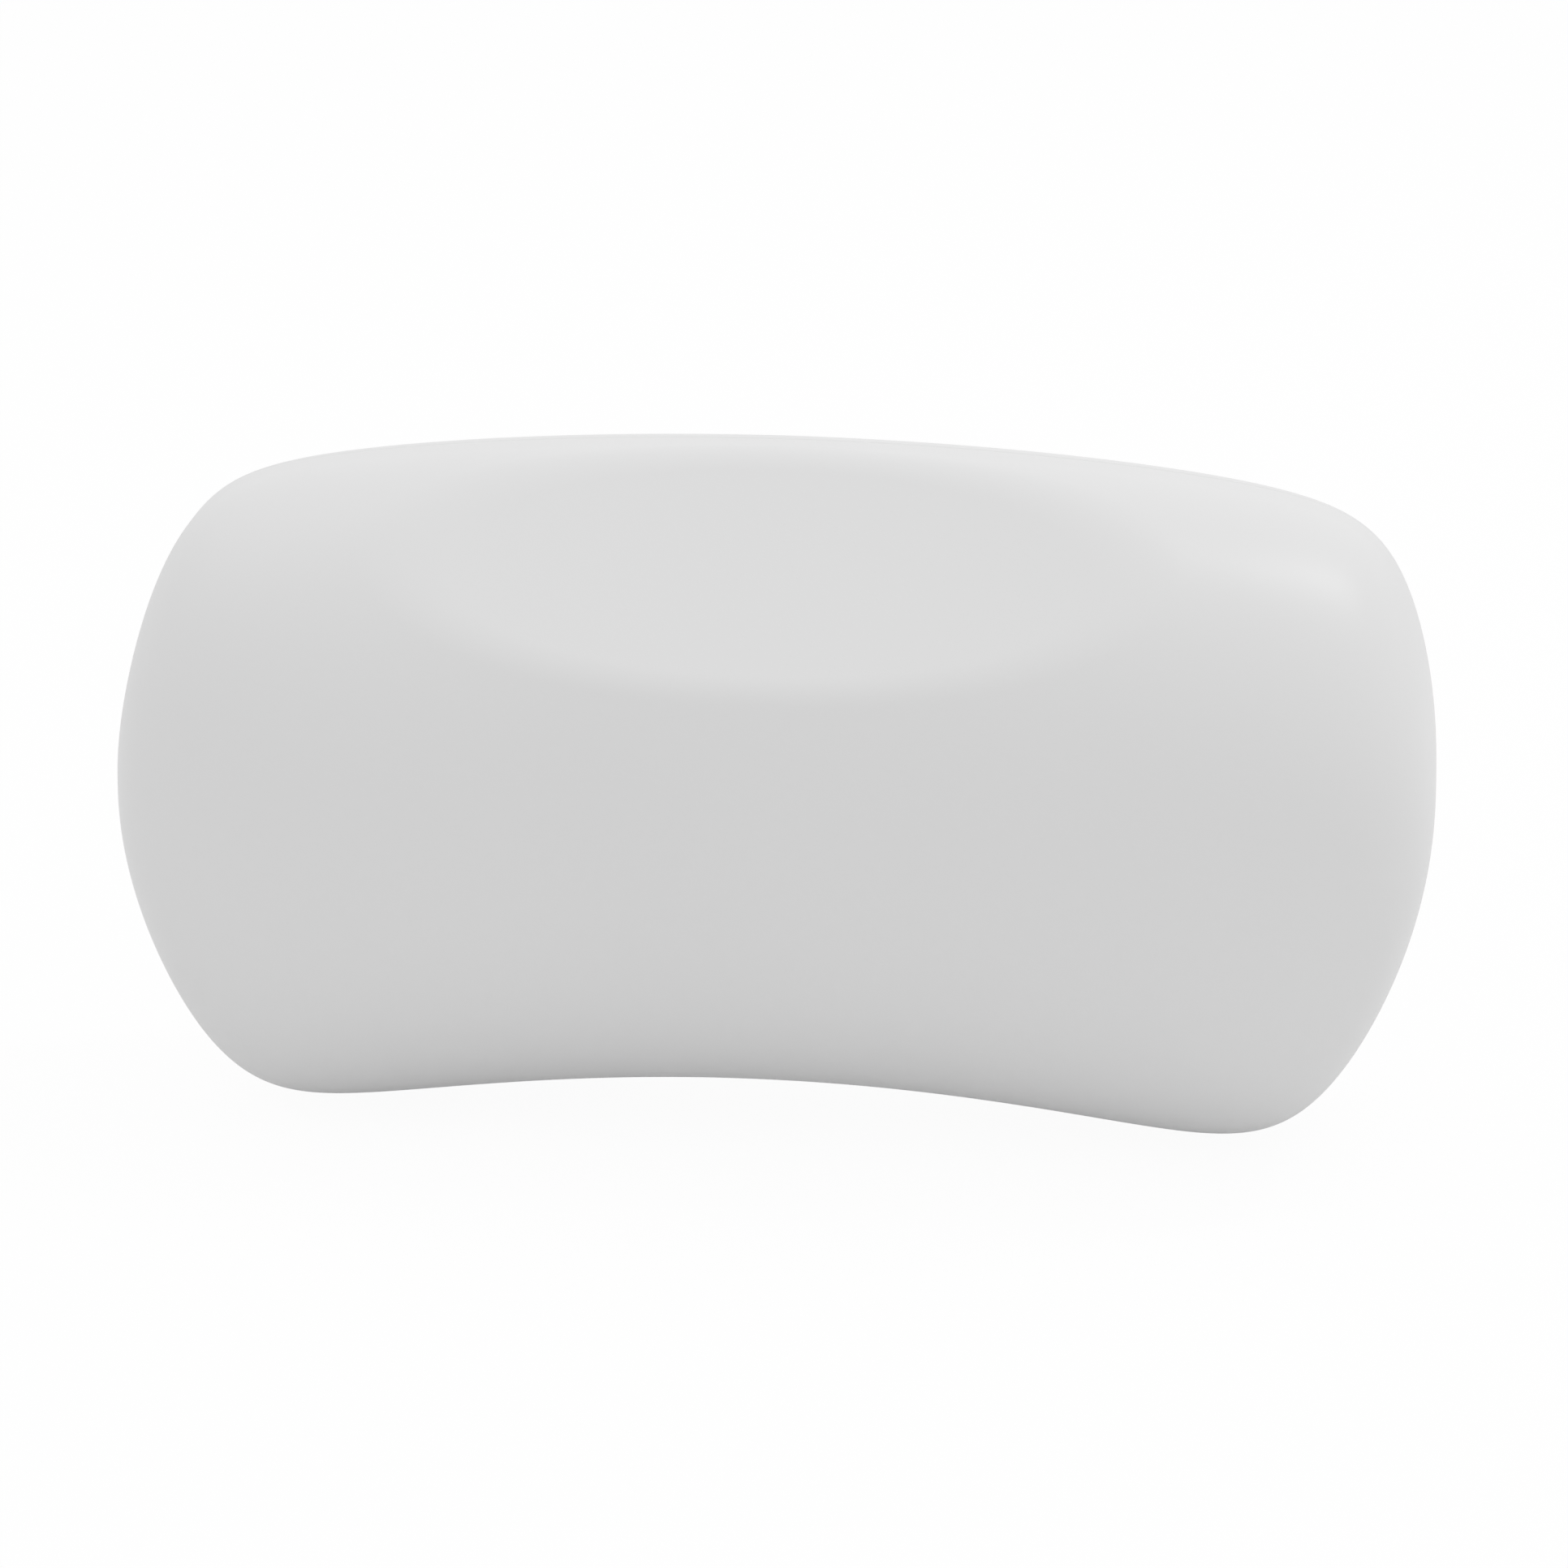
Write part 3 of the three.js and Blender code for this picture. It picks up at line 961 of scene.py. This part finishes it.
ridge = put(
    cup_tree,
    "GeometryNodeMeshCylinder",
    Vertices=given["Ridge sides"],
    Radius=Field(cup_tree, given["Ridge width"]) / 2,
    Depth=given["Ridge length"],
)
laid_ridge = put(
    cup_tree,
    "GeometryNodeTransform",
    Geometry=ridge.outputs["Mesh"],
    Rotation=(0, math.pi / 2, 0),
)
ridges = put(
    cup_tree,
    "GeometryNodeInstanceOnPoints",
    Points=ridge_line.outputs["Mesh"],
    Instance=laid_ridge.outputs["Geometry"],
)
real_ridges = put(cup_tree, "GeometryNodeRealizeInstances", Geometry=ridges.outputs["Instances"])
fused = cup_tree.nodes.new("GeometryNodeMeshBoolean")
fused.operation = "UNION"
fused.solver = "MANIFOLD"
for part in (bell, tab.outputs["Geometry"], real_ridges.outputs["Geometry"]):
    cup_tree.links.new(part, fused.inputs["Mesh 2"])
station_place = put(
    cup_tree,
    "ShaderNodeCombineXYZ",
    X=given["Station along"],
    Z=given["Station up"],
)
seated_cup = put(
    cup_tree,
    "GeometryNodeTransform",
    Geometry=fused.outputs["Mesh"],
    Translation=station_place.outputs["Vector"],
)
crease = Field(cup_tree, given["Crease"])
finish_tree(cup_tree, seated_cup.outputs["Geometry"], given["Finish"], crease, result)

for station in station_names:
    up = cup_spacing_z / 2 if station.startswith("upper") else -cup_spacing_z / 2
    along = cup_spacing_x / 2 if station.endswith("right") else -cup_spacing_x / 2
    cup_base = profile_mesh("cup_profile_" + station, cup_outline)
    places = {"Station along": along, "Station up": up}
    cup = piece_from(cup_tree, "vinyl_cup_" + station, cup_base, places)
    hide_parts("suction_cup_" + station)
    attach(cup, station + "_cup")
bpy.data.objects.remove(tab_blank)


# The studio: a wide white floor 3 mm below the two lobes of the headrest, which hangs as if on a
# tub wall, and a plain white surround. Two soft lamps stand high behind it: a tall narrow one on
# the right, whose highlight shows on the right shoulder, and a large weak one on the left.
floor_level = -0.086
floor_half = 5.0
seen_white_share = 0.95
mirrored_white_share = 0.3
surround_level = 0.885
aim = Vector((0.0015, -0.0402, -0.0050))
camera_azimuth = math.radians(6.64)
camera_elevation = math.radians(19.59)
camera_distance = 1.3337
sensor_width = 36
lens_length = 124.99


def seen_rays(tree):
    """One for what the camera sees, and one for what a gloss or clear plastic shows; else zero."""
    path = tree.nodes.new("ShaderNodeLightPath").outputs
    camera_ray = Field(tree, path["Is Camera Ray"])
    glossy_ray = Field(tree, path["Is Glossy Ray"])
    clear_ray = Field(tree, path["Is Transmission Ray"])
    return camera_ray, glossy_ray.at_least(clear_ray)


floor_mesh = bpy.data.meshes.new("floor")
floor_corners = []
for side_x, side_y in ((-1, -1), (1, -1), (1, 1), (-1, 1)):
    floor_corners.append((side_x * floor_half, side_y * floor_half, floor_level))
floor_mesh.from_pydata(floor_corners, [], [(0, 1, 2, 3)])
floor = bpy.data.objects.new("floor", floor_mesh)
bpy.context.scene.collection.objects.link(floor)
floor_finish, floor_nodes, floor_shader, _ = moulded_finish(
    "floor_white",
    dark=(0.85, 0.85, 0.85, 1),
    light=(0.87, 0.87, 0.87, 1),
    tints_per_metre=2,
    smoothest=0.85,
    roughest=0.95,
    glosses_per_metre=5,
    grains_per_metre=100,
    grain_depth=0.0001,
)
floor_seen, floor_mirrored = seen_rays(floor_nodes)
glow_share = (floor_seen * seen_white_share).at_least(floor_mirrored * mirrored_white_share)
floor_glow = put(floor_nodes, "ShaderNodeEmission")
floor_mix = put(floor_nodes, "ShaderNodeMixShader", Fac=glow_share)
floor_nodes.links.new(floor_shader.outputs["BSDF"], floor_mix.inputs[1])
floor_nodes.links.new(floor_glow.outputs["Emission"], floor_mix.inputs[2])
floor_output = floor_nodes.nodes["Material Output"]
floor_nodes.links.new(floor_mix.outputs["Shader"], floor_output.inputs["Surface"])
floor_mesh.materials.append(floor_finish)

surround = bpy.data.worlds.new("surround")
surround.use_nodes = True
surround_nodes = surround.node_tree
surround_shader = surround_nodes.nodes["Background"]
surround_shader.inputs["Color"].default_value = (1, 1, 1, 1)
surround_seen, surround_mirrored = seen_rays(surround_nodes)
surround_shown = surround_seen.at_least(surround_mirrored)
surround_strength = surround_shown * (1 - surround_level) + surround_level
surround_nodes.links.new(surround_strength.socket, surround_shader.inputs["Strength"])
bpy.context.scene.world = surround

# Each lamp has an azimuth and an elevation from the headrest, a width, a height and a power
lamp_distance = 1.5
lamps = {
    "right_rear": (118, 60, 0.1, 0.9, 4.1),
    "left_rear": (-110, 55, 1.0, 1.0, 0.8),
}
for name, (azimuth, elevation, width, height, power) in lamps.items():
    turn_angle = math.radians(azimuth)
    lift_angle = math.radians(elevation)
    lamp_data = bpy.data.lights.new(name, "AREA")
    lamp_data.shape = "RECTANGLE"
    lamp_data.size = width
    lamp_data.size_y = height
    lamp_data.energy = power
    lamp = bpy.data.objects.new(name, lamp_data)
    level_reach = lamp_distance * math.cos(lift_angle)
    offset_x = math.sin(turn_angle) * level_reach
    offset_y = -math.cos(turn_angle) * level_reach
    offset = Vector((offset_x, offset_y, lamp_distance * math.sin(lift_angle)))
    lamp.location = aim + offset
    lamp.rotation_euler = (-offset).to_track_quat("-Z", "Y").to_euler()
    lamp.visible_camera = False
    bpy.context.scene.collection.objects.link(lamp)

level_share = math.cos(camera_elevation)
camera_side_x = math.sin(camera_azimuth) * level_share
camera_side_y = -math.cos(camera_azimuth) * level_share
camera_side = Vector((camera_side_x, camera_side_y, math.sin(camera_elevation)))
camera_data = bpy.data.cameras.new("camera")
camera_data.sensor_width = sensor_width
camera_data.lens = lens_length
camera = bpy.data.objects.new("camera", camera_data)
camera.location = aim + camera_side * camera_distance
camera.rotation_euler = (-camera_side).to_track_quat("-Z", "Y").to_euler()
bpy.context.scene.collection.objects.link(camera)
bpy.context.scene.camera = camera
bpy.context.scene.view_settings.view_transform = "Standard"
